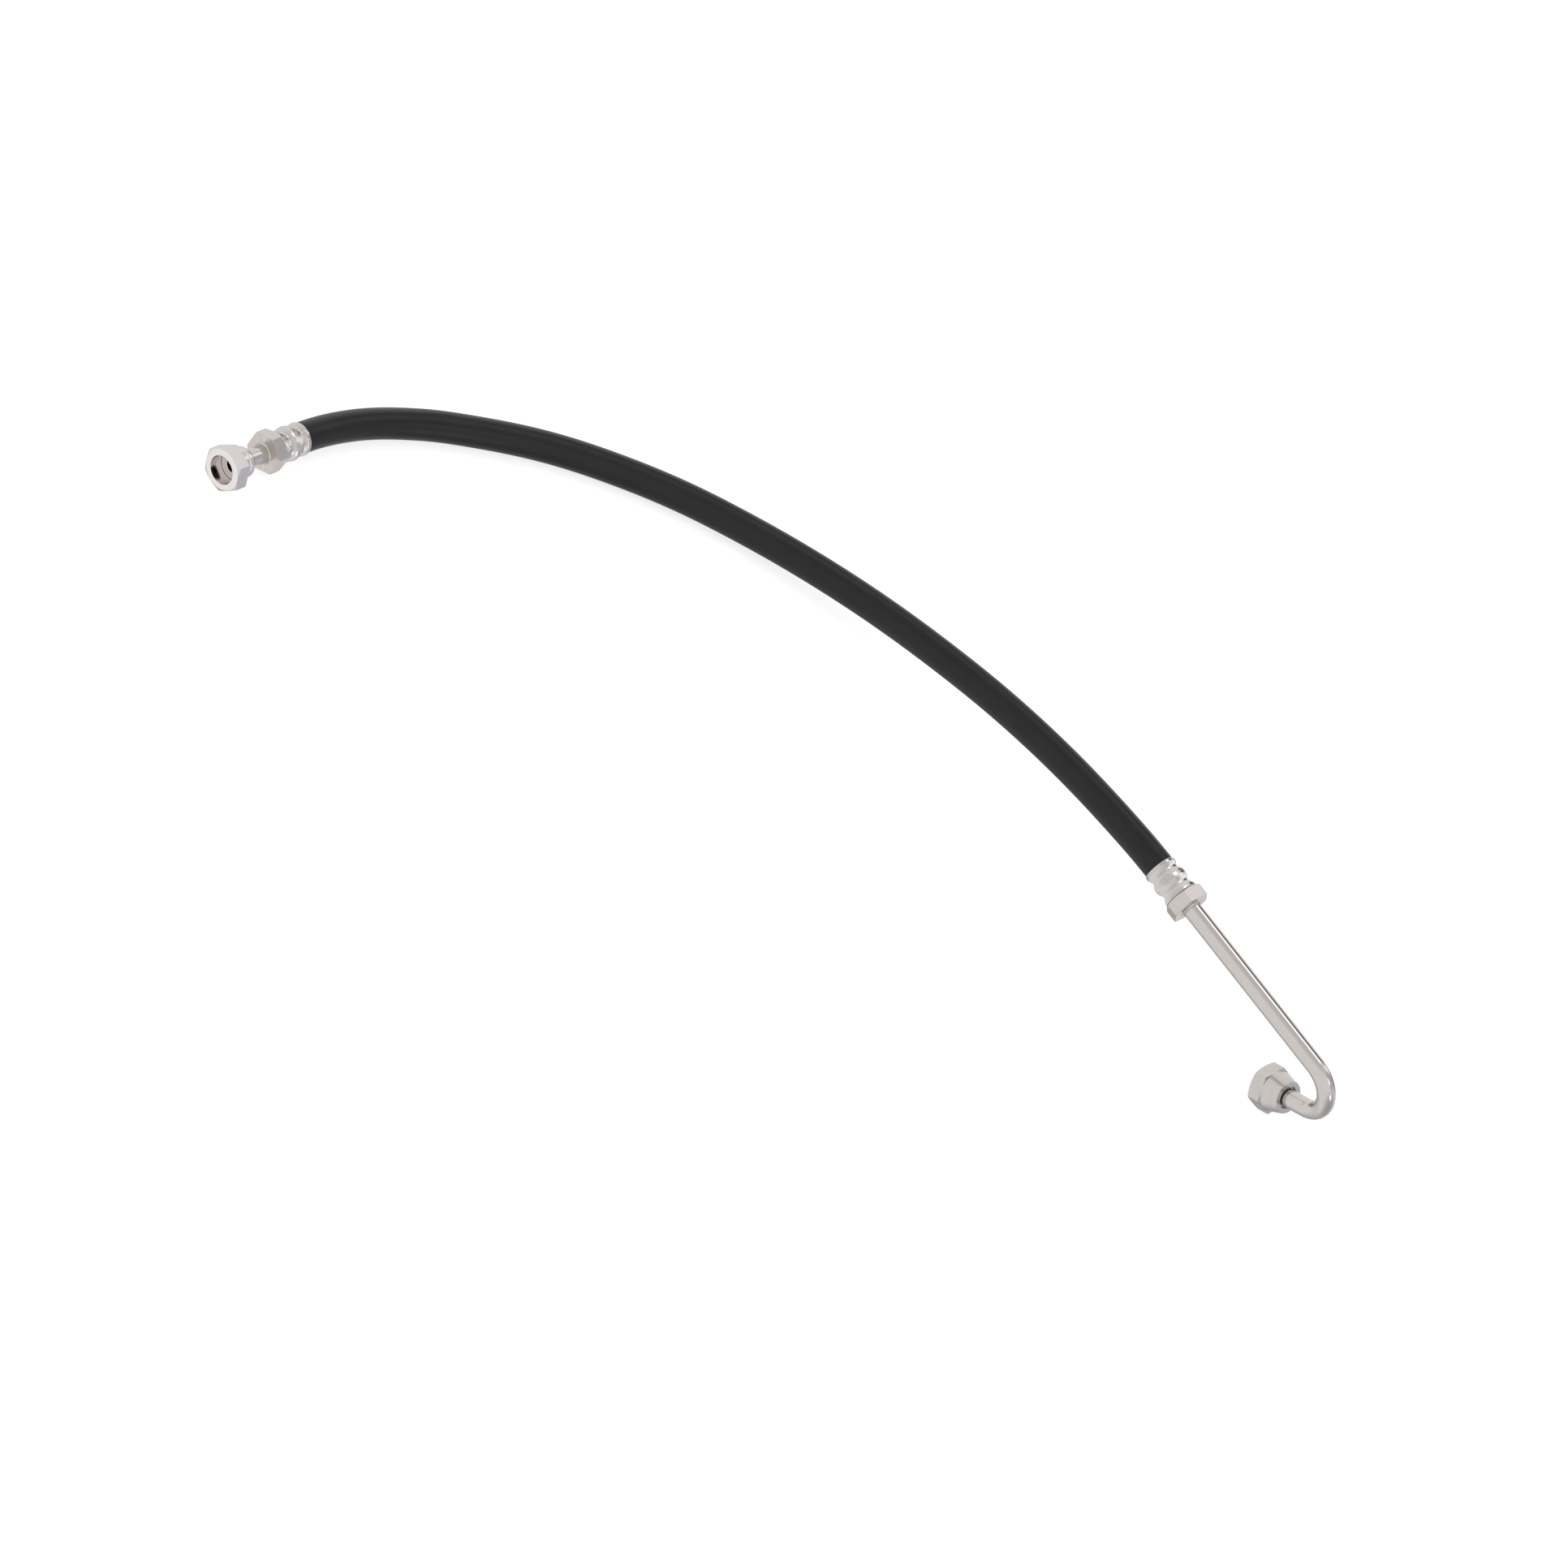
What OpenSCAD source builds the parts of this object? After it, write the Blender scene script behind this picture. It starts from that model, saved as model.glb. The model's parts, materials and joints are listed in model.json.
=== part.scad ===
// Hydraulic hose assembly: a two-wire-braid hose with a straight swivel fitting
// on its inlet end and a long, bent tube fitting on its outlet end.
// Millimetres, +Z up.  The assembly lies on the plane z = 0.

/* [Hose] */
// Outside diameter of the cover
hose_od = 19.8; // [19:0.1:20]
// Bore of the liner
hose_bore = 9.5; // [9:0.1:10]
// Thickness of the inner tube
liner_wall = 1.7; // [1.5:0.1:1.8]
// Thickness of one layer of wire braid
braid_wall = 0.6; // [0.5:0.1:0.7]
// Thickness of the rubber between the two braids
interlayer_wall = 0.3; // [0.2:0.1:0.4]

/* [Ferrules] */
// Length of a crimped ferrule
ferrule_length = 22; // [21:0.5:22]
// Outer radius on a crimp ridge
ridge_r = 11.2; // [10.5:0.1:11.4]
// Outer radius at the bottom of a crimp groove
groove_r = 9.3; // [9:0.1:9.8]
// Outer radius at the rim beside the hose
rim_r = 10.7; // [10.4:0.1:11]

/* [Stems] */
// Width across flats of a stem's hexagon
stem_af = 24; // [22:0.5:25]
// Length of a stem's hexagon
stem_hex_length = 9.5; // [8:0.5:10]
// Bore through a stem's barbed tail
stem_bore = 6.5; // [5:0.5:7]

/* [Tubes] */
// Outside diameter of the steel tubes
tube_od = 12; // [12:0.1:12.2]
// Wall of the steel tubes
tube_wall = 1.5; // [1.2:0.1:2]
// Straight leg of the outlet tube, from the stem's hexagon to the bend
long_leg = 125; // [80:5:160]
// Straight leg of the outlet tube, from the bend to the tip of its flare
short_leg = 26; // [26:0.5:30]
// Radius of the bend, on the tube's axis
bend_r = 19.5; // [18:0.5:30]
// Angle that the bend turns through
bend_angle = 148; // [120:1:150]
// Lean of the bend's plane away from vertical
bend_lean = 9; // [0:1:20]

/* [Swivel nuts] */
// Width across flats of both nuts
nut_af = 27; // [26:0.5:28]
// Wall radius of the nuts' threaded mouths
thread_r = 9.3; // [9.2:0.05:9.4]
// Depth of the threaded wall
thread_depth = 9.5; // [8:0.5:9.5]
// Radial clearance of a running fit
running_gap = 0.06; // [0.03:0.01:0.1]

/* [Placement] */
// Heading of the inlet fitting's mouth, anticlockwise from +X
inlet_heading = 266.6; // [262:0.2:270]
// Climb of the outlet fitting from the hose to its bend
outlet_climb = 5; // [4:0.5:6]

/* [Hidden] */
$fn = 72;
eps = 0.01;

// The hose's axis from one ferrule's rim to the other's
route = [
    [-325.5, -152.5, 13.8], [-318, -106, 12], [-302, -62, 10], [-279, -21, 10],
    [-252.5, 18, 10], [-222, 53.5, 10], [-188, 86, 10.5], [-150, 114, 12.5],
    [-109.5, 137, 17], [-66.5, 156.5, 22.5], [-22.5, 171.5, 29], [22.5, 183, 36],
    [68.5, 191, 42.5], [115, 195.5, 48.5], [161.5, 197.5, 53.4]
];
route_end = len(route) - 1;
inlet_dir = -[cos(inlet_heading), sin(inlet_heading), 0];
outlet_dir = [cos(outlet_climb), 0, sin(outlet_climb)];
hose_sides = 12;

// Radii of the hose's layers, from the bore outwards
liner_r = hose_bore / 2;
inner_braid_r = liner_r + liner_wall;
interlayer_r = inner_braid_r + braid_wall;
outer_braid_r = interlayer_r + interlayer_wall;
cover_r = outer_braid_r + braid_wall;
hose_r = hose_od / 2;

// Ferrules and stems, measured along a fitting's axis from the ferrule's rim
crimp_pitch = 11;
// Above 1, the grooves are narrower than the ridges between them
groove_narrowing = 1.5;
rim_width = 2.2;
rim_chamfer = 0.4;
end_chamfer = 0.6;
ferrule_lip = 2;
lip_back = ferrule_length - ferrule_lip;
hose_insert = lip_back - 1.4;
shoulder_r = 7.2;
collar_r = 6;
tail_start = 1.5;
tail_r = liner_r;
barb_depth = 0.4;
barb_land = 0.2;
barb_pitch = 3.5;
barb_count = 4;
first_barb = 3;
neck_r = 8.6;
contact_gap = 0.05;
hex_start = ferrule_length + 0.5;
hex_end = hex_start + stem_hex_length;
socket_depth = 6;
socket_floor = hex_end - socket_depth;
stem_back_chamfer = 1.6;
stem_front_chamfer = 0.4;
inlet_stem_turn = 8;
outlet_stem_turn = 32;
braze_size = 1;
braze_hollow = 0.35;

// Tubes and nuts
tube_r = tube_od / 2;
bore_r = tube_r - tube_wall;
flare_angle = 37;
flare_r = 8.2;
flare_length = (flare_r - tube_r) / tan(flare_angle);
corner_chamfer = 30;
inlet_mouth = 68.7;
inlet_hex_length = 10;
inlet_nut_turn = 30;
inlet_back_chamfer = 0.6;
inlet_front_chamfer = 1.6;
inlet_tail = 47.7;
inlet_tail_r = 10.1;
tail_groove_start = inlet_tail + 4.4;
tail_groove_end = inlet_tail + 6.5;
tail_groove_depth = 0.5;
seat_z = inlet_mouth - thread_depth;
flange_r = thread_r - 0.1;
flange_length = 2.5;
inlet_relief_r = thread_r + 0.2;
wire_r = 0.8;
wire_ring_r = 7.2;
wire_z = seat_z - flange_length - wire_r - contact_gap;
inlet_shoulder_z = wire_z - wire_r - contact_gap;

bend_start = hex_end + long_leg;
leg_overlap = 0.5;
bend_thinning = 0.02;
outlet_back = short_leg - 11.1;
outlet_nut_length = 21.5;
outlet_mouth = outlet_back + outlet_nut_length;
outlet_cone_length = 11;
outlet_nut_turn = 29;
outlet_hex_back_chamfer = 0.2;
outlet_hex_front_chamfer = 1.8;
outlet_back_r = 10.5;
outlet_relief_r = thread_r + 0.4;
sleeve_tail_r = 7.14;
sleeve_head_r = 8.9;
sleeve_start = outlet_back + 2;
sleeve_head_start = outlet_back + 6;
sleeve_end = short_leg - 0.6;
outlet_shoulder_z = sleeve_head_start - contact_gap;

function unit(v) = v / norm(v);

// Direction of the hose at route point i
function heading(i) =
    i <= 0 ? inlet_dir :
    i >= route_end ? outlet_dir :
    unit(unit(route[i + 1] - route[i]) + unit(route[i] - route[i - 1]));

// Ring of hose_sides points about the point p, square to the direction d
function ring(p, d, r) =
    let (side = unit(cross([0, 0, 1], d)), up = cross(d, side))
    [for (k = [0 : hose_sides - 1])
        let (a = k * 360 / hose_sides)
        p + r * (cos(a) * side + sin(a) * up)];

// Stations of the sweep: the route, carried on by extra into each fitting
function stations(extra) = concat(
    extra > 0 ? [[route[0] - extra * inlet_dir, inlet_dir]] : [],
    [for (i = [0 : route_end]) [route[i], heading(i)]],
    extra > 0 ? [[route[route_end] + extra * outlet_dir, outlet_dir]] : []);

// One layer of the hose: a closed tube from radius r_in to radius r_out
module hose_layer(r_in, r_out, extra) {
    path = stations(extra);
    n = hose_sides;
    last = len(path) - 1;
    base = n * (last + 1);
    inner = [for (s = path) each ring(s[0], s[1], r_in)];
    outer = [for (s = path) each ring(s[0], s[1], r_out)];
    walls = [for (i = [0 : last - 1], k = [0 : n - 1])
        let (a = n * i + k, b = n * i + (k + 1) % n)
        each [[a, b, b + n, a + n], [base + a, base + a + n, base + b + n, base + b]]];
    ends = [for (k = [0 : n - 1])
        let (m = (k + 1) % n, t = n * last)
        each [[k, base + k, base + m, m], [t + k, t + m, base + t + m, base + t + k]]];
    polyhedron(points = concat(inner, outer), faces = concat(walls, ends), convexity = 10);
}

// Local frames: +Z runs along the fitting's axis, away from the hose, and +X points down
module at_inlet() {
    translate(route[0]) rotate([0, 90, inlet_heading]) children();
}

module at_outlet() {
    translate(route[route_end]) rotate([0, 90 - outlet_climb, 0]) children();
}

// At the end of the bend, with +Z towards the outlet's mouth
module at_short_leg() {
    at_outlet() rotate([0, 0, bend_lean])
        translate([bend_r * (1 - cos(bend_angle)), 0, bend_start + bend_r * sin(bend_angle)])
            rotate([0, bend_angle, 0]) children();
}

// Radius of a ferrule's outside, z along it from the rim
function crimp_r(z) =
    let (depth = (1 - cos(360 * (z - ferrule_length / 2) / crimp_pitch)) / 2)
    ridge_r - (ridge_r - groove_r) * pow(depth, groove_narrowing);

// Ferrule with two crimped grooves, and a lip that locks behind the stem's collar
module ferrule() {
    crimp_start = rim_width + 0.8;
    crimp_end = ferrule_length - end_chamfer;
    steps = 24;
    step = (crimp_end - crimp_start) / steps;
    rotate_extrude() polygon(concat(
        [[cover_r, 0], [rim_r - rim_chamfer, 0], [rim_r, rim_chamfer], [rim_r, rim_width]],
        [for (i = [0 : steps]) [crimp_r(crimp_start + i * step), crimp_start + i * step]],
        [[crimp_r(crimp_end) - end_chamfer, ferrule_length], [collar_r + contact_gap, ferrule_length],
         [collar_r + contact_gap, lip_back], [cover_r, lip_back]]));
}

// One barb of a stem's tail: a short step down, then a long ramp up to the next
function barb(z) = [
    [tail_r, z + barb_land], [tail_r - barb_depth, z + 2 * barb_land],
    [tail_r, z + barb_pitch - barb_land]];

// Stem: barbed tail inside the liner, collar, hexagon and socket for the tube
module stem(hex_turn) {
    difference() {
        union() {
            rotate_extrude() polygon(concat(
                [[0, tail_start], [tail_r - 0.5, tail_start], [tail_r, first_barb]],
                [for (i = [0 : barb_count - 1]) each barb(first_barb + i * barb_pitch)],
                [[tail_r, hose_insert + contact_gap], [shoulder_r, hose_insert + contact_gap],
                 [shoulder_r, lip_back - contact_gap], [collar_r, lip_back - contact_gap],
                 [collar_r, ferrule_length + contact_gap], [neck_r, ferrule_length + contact_gap],
                 [neck_r, hex_start + 1], [0, hex_start + 1]]));
            hexagon(hex_start, hex_end, stem_af, hex_turn, stem_back_chamfer, stem_front_chamfer);
        }
        translate([0, 0, tail_start - 1])
            cylinder(h = hex_end, r = stem_bore / 2);
        translate([0, 0, socket_floor])
            cylinder(h = socket_depth + 1, r = tube_r);
    }
}

// Hexagon from z0 to z1 whose corners are turned off: front is the chamfer's depth at z1, back at z0
module hexagon(z0, z1, across_flats, turn, back, front) {
    corner_r = across_flats / 2 / cos(30);
    slope = tan(corner_chamfer);
    clear_r = corner_r + 1;
    intersection() {
        translate([0, 0, z0]) rotate([0, 0, turn]) cylinder(h = z1 - z0, r = corner_r, $fn = 6);
        rotate_extrude() polygon([
            [0, z0 - 1], [corner_r - (back + 1) / slope, z0 - 1], [clear_r, z0 + back + slope],
            [clear_r, z1 - front - slope], [corner_r - (front + 1) / slope, z1 + 1], [0, z1 + 1]]);
    }
}

// Fillet of brazing metal where a tube enters its stem
module braze_ring() {
    rotate_extrude() polygon([
        [tube_r, hex_end], [tube_r + braze_size, hex_end],
        [tube_r + braze_hollow * braze_size, hex_end + braze_hollow * braze_size],
        [tube_r, hex_end + braze_size]]);
}

module hose_liner() {
    color("#1c1c1c") hose_layer(liner_r, inner_braid_r, hose_insert);
}

module hose_inner_braid() {
    color("#8f8878") hose_layer(inner_braid_r, interlayer_r, hose_insert);
}

module hose_interlayer() {
    color("#262626") hose_layer(interlayer_r, outer_braid_r, hose_insert);
}

module hose_outer_braid() {
    color("#8f8878") hose_layer(outer_braid_r, cover_r, hose_insert);
}

module hose_cover() {
    color("#353431") hose_layer(cover_r, hose_r, 0);
}

module inlet_ferrule() {
    color("#c4bfba") at_inlet() ferrule();
}

module inlet_stem() {
    color("#c8c3be") at_inlet() stem(inlet_stem_turn);
}

module inlet_braze_ring() {
    color("#b3aca2") at_inlet() braze_ring();
}

// Short tube with a flanged flat seat at its mouth end
module inlet_nipple() {
    color("#cbc6c2") at_inlet() rotate_extrude() polygon([
        [bore_r, socket_floor], [tube_r, socket_floor],
        [tube_r, seat_z - flange_length], [flange_r, seat_z - flange_length],
        [flange_r, seat_z - 0.3], [flange_r - 0.3, seat_z],
        [bore_r + 0.4, seat_z], [bore_r, seat_z - 0.4]]);
}

// Thrust wire between the nipple's flange and the nut's shoulder
module inlet_lock_wire() {
    color("#9a958f") at_inlet() translate([0, 0, wire_z])
        rotate_extrude() translate([wire_ring_r, 0]) circle(r = wire_r, $fn = 24);
}

module inlet_nut() {
    hex_back = inlet_mouth - inlet_hex_length;
    color("#d0cbc8") at_inlet() difference() {
        union() {
            hexagon(hex_back, inlet_mouth, nut_af, inlet_nut_turn,
                inlet_back_chamfer, inlet_front_chamfer);
            rotate_extrude() polygon([
                [0, inlet_tail], [inlet_tail_r - 1.9, inlet_tail],
                [inlet_tail_r - 0.7, inlet_tail + 0.7], [inlet_tail_r, inlet_tail + 2.2],
                [inlet_tail_r, tail_groove_start],
                [inlet_tail_r - tail_groove_depth, tail_groove_start + tail_groove_depth],
                [inlet_tail_r - tail_groove_depth, tail_groove_end - tail_groove_depth],
                [inlet_tail_r, tail_groove_end], [inlet_tail_r, hex_back + 1], [0, hex_back + 1]]);
        }
        translate([0, 0, inlet_tail - 1])
            cylinder(h = inlet_mouth, r = tube_r + running_gap);
        translate([0, 0, inlet_shoulder_z])
            cylinder(h = inlet_mouth, r = thread_r);
        translate([0, 0, inlet_shoulder_z])
            cylinder(h = seat_z - inlet_shoulder_z, r = inlet_relief_r);
    }
}

module outlet_ferrule() {
    color("#c4bfba") at_outlet() ferrule();
}

module outlet_stem() {
    color("#c8c3be") at_outlet() stem(outlet_stem_turn);
}

module outlet_braze_ring() {
    color("#b3aca2") at_outlet() braze_ring();
}

// The bent tube's rod of radius r, carried on by over past each end.
// The bend is drawn a hair thinner than the legs, which run a little way into it.
module bent_rod(r, over) {
    translate([0, 0, socket_floor - over])
        cylinder(h = bend_start - socket_floor + over + leg_overlap, r = r);
    translate([bend_r, 0, bend_start]) rotate([90, 0, 180])
        rotate_extrude(angle = bend_angle) translate([bend_r, 0]) circle(r = r - bend_thinning);
    translate([bend_r * (1 - cos(bend_angle)), 0, bend_start + bend_r * sin(bend_angle)])
        rotate([0, bend_angle, 0]) translate([0, 0, -leg_overlap])
            cylinder(h = short_leg - flare_length + over + leg_overlap, r = r);
}

// Bent tube with a flared tip
module outlet_tube() {
    flare_start = short_leg - flare_length;
    wall_across = tube_wall / cos(flare_angle);
    color("#cbc6c2") difference() {
        union() {
            at_outlet() rotate([0, 0, bend_lean]) bent_rod(tube_r, 0);
            at_short_leg() translate([0, 0, flare_start])
                cylinder(h = flare_length, r1 = tube_r, r2 = flare_r);
        }
        at_outlet() rotate([0, 0, bend_lean]) bent_rod(bore_r, 1);
        at_short_leg() translate([0, 0, short_leg - 2])
            cylinder(h = 2 + eps, r1 = bore_r - eps, r2 = flare_r - wall_across + 0.5);
    }
}

// Support sleeve behind the flare
module outlet_sleeve() {
    seat_drop = contact_gap / sin(flare_angle);
    color("#bdb8b3") at_short_leg() difference() {
        rotate_extrude() polygon([
            [tube_r + running_gap, sleeve_start], [sleeve_tail_r - 0.3, sleeve_start],
            [sleeve_tail_r, sleeve_start + 0.3], [sleeve_tail_r, sleeve_head_start],
            [sleeve_head_r, sleeve_head_start], [sleeve_head_r, sleeve_end],
            [tube_r + running_gap, sleeve_end]]);
        translate([0, 0, short_leg - flare_length - seat_drop - 1])
            cylinder(h = flare_length + 1 + eps,
                r1 = tube_r - tan(flare_angle), r2 = flare_r + eps * tan(flare_angle));
    }
}

module outlet_nut() {
    color("#d0cbc8") at_short_leg() difference() {
        union() {
            translate([0, 0, outlet_back])
                cylinder(h = outlet_cone_length, r1 = outlet_back_r, r2 = nut_af / 2 - 0.1);
            hexagon(outlet_back + outlet_cone_length, outlet_mouth, nut_af, outlet_nut_turn,
                outlet_hex_back_chamfer, outlet_hex_front_chamfer);
        }
        translate([0, 0, outlet_back - 1])
            cylinder(h = outlet_nut_length, r = sleeve_tail_r + running_gap);
        translate([0, 0, outlet_shoulder_z])
            cylinder(h = outlet_nut_length, r = thread_r);
        translate([0, 0, outlet_shoulder_z])
            cylinder(h = outlet_mouth - thread_depth - outlet_shoulder_z, r = outlet_relief_r);
    }
}

hose_liner();
hose_inner_braid();
hose_interlayer();
hose_outer_braid();
hose_cover();
inlet_ferrule();
inlet_stem();
inlet_braze_ring();
inlet_nipple();
inlet_lock_wire();
inlet_nut();
outlet_ferrule();
outlet_stem();
outlet_braze_ring();
outlet_tube();
outlet_sleeve();
outlet_nut();
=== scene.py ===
"""Hydraulic hose assembly: the visual model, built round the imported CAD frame.

Outlines are in millimetres, out from a fitting's axis and along it; each fitting's
matrix carries them to metres in the shared frame.
"""

import json
import math

import bmesh
import bpy
from mathutils import Matrix, Vector


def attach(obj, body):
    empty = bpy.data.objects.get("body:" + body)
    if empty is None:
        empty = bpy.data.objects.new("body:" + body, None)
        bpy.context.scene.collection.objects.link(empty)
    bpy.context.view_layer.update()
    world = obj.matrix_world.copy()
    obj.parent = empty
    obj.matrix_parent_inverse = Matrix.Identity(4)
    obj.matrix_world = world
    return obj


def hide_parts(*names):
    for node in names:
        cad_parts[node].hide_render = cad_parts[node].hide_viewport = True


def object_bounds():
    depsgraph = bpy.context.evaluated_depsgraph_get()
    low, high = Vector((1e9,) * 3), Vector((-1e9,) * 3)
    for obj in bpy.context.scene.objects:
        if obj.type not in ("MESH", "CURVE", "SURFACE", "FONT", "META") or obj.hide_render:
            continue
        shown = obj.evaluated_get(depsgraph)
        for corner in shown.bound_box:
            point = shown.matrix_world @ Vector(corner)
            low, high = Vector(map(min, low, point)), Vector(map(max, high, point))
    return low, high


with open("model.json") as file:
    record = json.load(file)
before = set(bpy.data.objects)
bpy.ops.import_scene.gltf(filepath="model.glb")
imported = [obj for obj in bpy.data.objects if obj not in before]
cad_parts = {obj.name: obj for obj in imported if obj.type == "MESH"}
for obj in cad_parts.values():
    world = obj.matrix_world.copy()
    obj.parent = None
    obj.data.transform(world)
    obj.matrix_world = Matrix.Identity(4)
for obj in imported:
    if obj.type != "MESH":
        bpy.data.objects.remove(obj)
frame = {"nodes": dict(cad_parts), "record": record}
cad_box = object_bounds()
scene = bpy.context.scene

MM = 0.001

# Hose, in metres: the route's points are the CAD route's
HOSE_D = 0.0198
ROUTE = [Vector(p) for p in (
    (-0.3255, -0.1525, 0.0138), (-0.318, -0.106, 0.012), (-0.302, -0.062, 0.010),
    (-0.279, -0.021, 0.010), (-0.2525, 0.018, 0.010), (-0.222, 0.0535, 0.010),
    (-0.188, 0.086, 0.0105), (-0.150, 0.114, 0.0125), (-0.1095, 0.137, 0.017),
    (-0.0665, 0.1565, 0.0225), (-0.0225, 0.1715, 0.029), (0.0225, 0.183, 0.036),
    (0.0685, 0.191, 0.0425), (0.115, 0.1955, 0.0485), (0.1615, 0.1975, 0.0534),
)]
ROUTE_LOWEST = min(p.z for p in ROUTE)
OUTLET_CLIMB = math.radians(5)

# Fittings, in millimetres: places along the axis start at each ferrule's rim
COVER_BORE = 7.95
FERRULE_LENGTH = 22
HEX_START = 22.5
HEX_END = 32.0
STEM_AF = 24.0
STEM_BORE_R = 3.25
SOCKET_FLOOR = 26.0
TUBE_R = 6.0
BORE_R = 4.5
NUT_AF = 27.0
THREAD_R = 9.3
THREAD_DEPTH = 9.5

INLET_MOUTH = 68.7
INLET_HEX_BACK = 58.7
INLET_TAIL = 47.7
SEAT_Z = INLET_MOUTH - THREAD_DEPTH

# Outlet tube and nut: past the bend, places start at the end of the bend
BEND_START = 157.0
BEND_R = 19.5
BEND_ANGLE = math.radians(148)
BEND_LEAN = math.radians(9)
SHORT_LEG = 26.0
FLARE_ANGLE = math.radians(37)
FLARE_R = 8.2
OUTLET_BACK = 14.9
OUTLET_HEX_BACK = 25.9
OUTLET_MOUTH = 36.4


# ---------------------------------------------------------------- local frames

mounts = {m["name"]: m for m in frame["record"]["mounts"]}


def fitting_frame(origin, axis, down):
    """Matrix of a fitting: +Z along its axis, away from the hose, and +X towards down."""
    z = axis.normalized()
    x = (down - down.dot(z) * z).normalized()
    return Matrix.Translation(origin) @ Matrix((x, z.cross(x), z)).transposed().to_4x4()


inlet_axis = Vector(mounts["inlet_thread"]["axis"])
outlet_axis = Vector((math.cos(OUTLET_CLIMB), 0, math.sin(OUTLET_CLIMB)))
DOWN = Vector((0, 0, -1))
AT_INLET = fitting_frame(ROUTE[0], inlet_axis, DOWN)
AT_OUTLET = fitting_frame(ROUTE[-1], outlet_axis, DOWN)
AT_BEND = AT_OUTLET @ Matrix.Rotation(BEND_LEAN, 4, "Z")
AT_SHORT_LEG = AT_BEND @ Matrix.Translation((
    BEND_R * (1 - math.cos(BEND_ANGLE)) * MM, 0,
    (BEND_START + BEND_R * math.sin(BEND_ANGLE)) * MM,
)) @ Matrix.Rotation(BEND_ANGLE, 4, "Y")


# ---------------------------------------------------------------- camera

# The view is parallel, and rolled about its own axis. Lengths are in metres
VIEW_WIDTH = 0.9563
VIEW_AIM = Vector((0.0118, -0.0264, 0.0593))
VIEW_BACK = Vector((0.1558, -0.6763, 0.7200)).normalized()
VIEW_UP = Vector((-0.8119, 0.3274, 0.4833))
VIEW_DISTANCE = 3.0


def make_camera():
    data = bpy.data.cameras.new("camera")
    data.type = "ORTHO"
    data.ortho_scale = VIEW_WIDTH
    camera = bpy.data.objects.new("camera", data)
    right = VIEW_UP.cross(VIEW_BACK).normalized()
    up = VIEW_BACK.cross(right)
    turn = Matrix((right, up, VIEW_BACK)).transposed().to_4x4()
    camera.matrix_world = Matrix.Translation(VIEW_AIM + VIEW_DISTANCE * VIEW_BACK) @ turn
    scene.collection.objects.link(camera)
    scene.camera = camera


make_camera()


# ---------------------------------------------------------------- mesh building

def face_outwards(mesh):
    shell = bmesh.new()
    shell.from_mesh(mesh)
    bmesh.ops.recalc_face_normals(shell, faces=shell.faces)
    shell.to_mesh(mesh)
    shell.free()


def weigh_normals(piece):
    """Large faces keep their own shading right up to the small fillets beside them."""
    modifier = piece.modifiers.new("weighted_normals", "WEIGHTED_NORMAL")
    modifier.mode = "FACE_AREA_WITH_ANGLE"
    modifier.weight = 80


def add_piece(name, points, faces, material, body, local):
    """Mesh piece in the shared frame. local holds each point in the fitting's own frame."""
    mesh = bpy.data.meshes.new(name)
    mesh.from_pydata(points, [], faces)
    face_outwards(mesh)
    mesh.shade_smooth()
    stored = mesh.attributes.new("local", "FLOAT_VECTOR", "POINT")
    for item, place in zip(stored.data, local):
        item.vector = place
    mesh.materials.append(material)
    piece = bpy.data.objects.new(name, mesh)
    scene.collection.objects.link(piece)
    weigh_normals(piece)
    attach(piece, body)
    return piece


def wrapped_faces(rows, columns):
    """Quads over a grid that closes on itself both ways: point (row, column) has the
    number row * columns + column."""
    faces = []
    for i in range(rows):
        for j in range(columns):
            a, b = i * columns + j, i * columns + (j + 1) % columns
            down = ((i + 1) % rows - i) * columns
            faces.append((a, b, b + down, a + down))
    return faces


def rounded(outline, steps=3):
    """Closed outline of (r, z, fillet) corners, with each corner's fillet drawn in."""
    points = []
    for i, (r, z, fillet) in enumerate(outline):
        corner = Vector((r, z))
        before = Vector(outline[i - 1][:2]) - corner
        after = Vector(outline[(i + 1) % len(outline)][:2]) - corner
        reach = min(fillet, 0.45 * before.length, 0.45 * after.length)
        start = corner + reach * before.normalized() if before.length else corner
        end = corner + reach * after.normalized() if after.length else corner
        for k in range(steps + 1):
            t = k / steps
            points.append((1 - t) ** 2 * start + 2 * t * (1 - t) * corner + t * t * end)
    return points


def turned(name, outline_at, angles, place, material, body):
    """Closed solid whose outline at each angle about the axis is outline_at(angle)."""
    local = []
    for angle in angles:
        for r, z in outline_at(angle):
            local.append(Vector((r * math.cos(angle), r * math.sin(angle), z)))
    rows = len(angles)
    columns = len(local) // rows
    points = [place @ (p * MM) for p in local]
    return add_piece(name, points, wrapped_faces(rows, columns), material, body, local)


ROUND_SIDES = 72


def even_angles(count=ROUND_SIDES):
    return [2 * math.pi * k / count for k in range(count)]


# Degrees from a hexagon's corner towards the middle of a flat, which is at 30
HEX_STEPS = (0, 0.6, 1.2, 2, 3, 4.5, 7, 10.5, 15, 20, 25)


def hex_angles(turn):
    """Angles about the axis, close together at a hexagon's corners. One corner is at turn."""
    sector = [*HEX_STEPS, 30, *(60 - step for step in reversed(HEX_STEPS[1:]))]
    return [math.radians(turn + 60 * k + s) for k in range(6) for s in sector]


CORNER_ROUNDING = 0.30
CHAMFER_SLOPE = math.tan(math.radians(30))
EDGE_BREAK = 0.25


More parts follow.
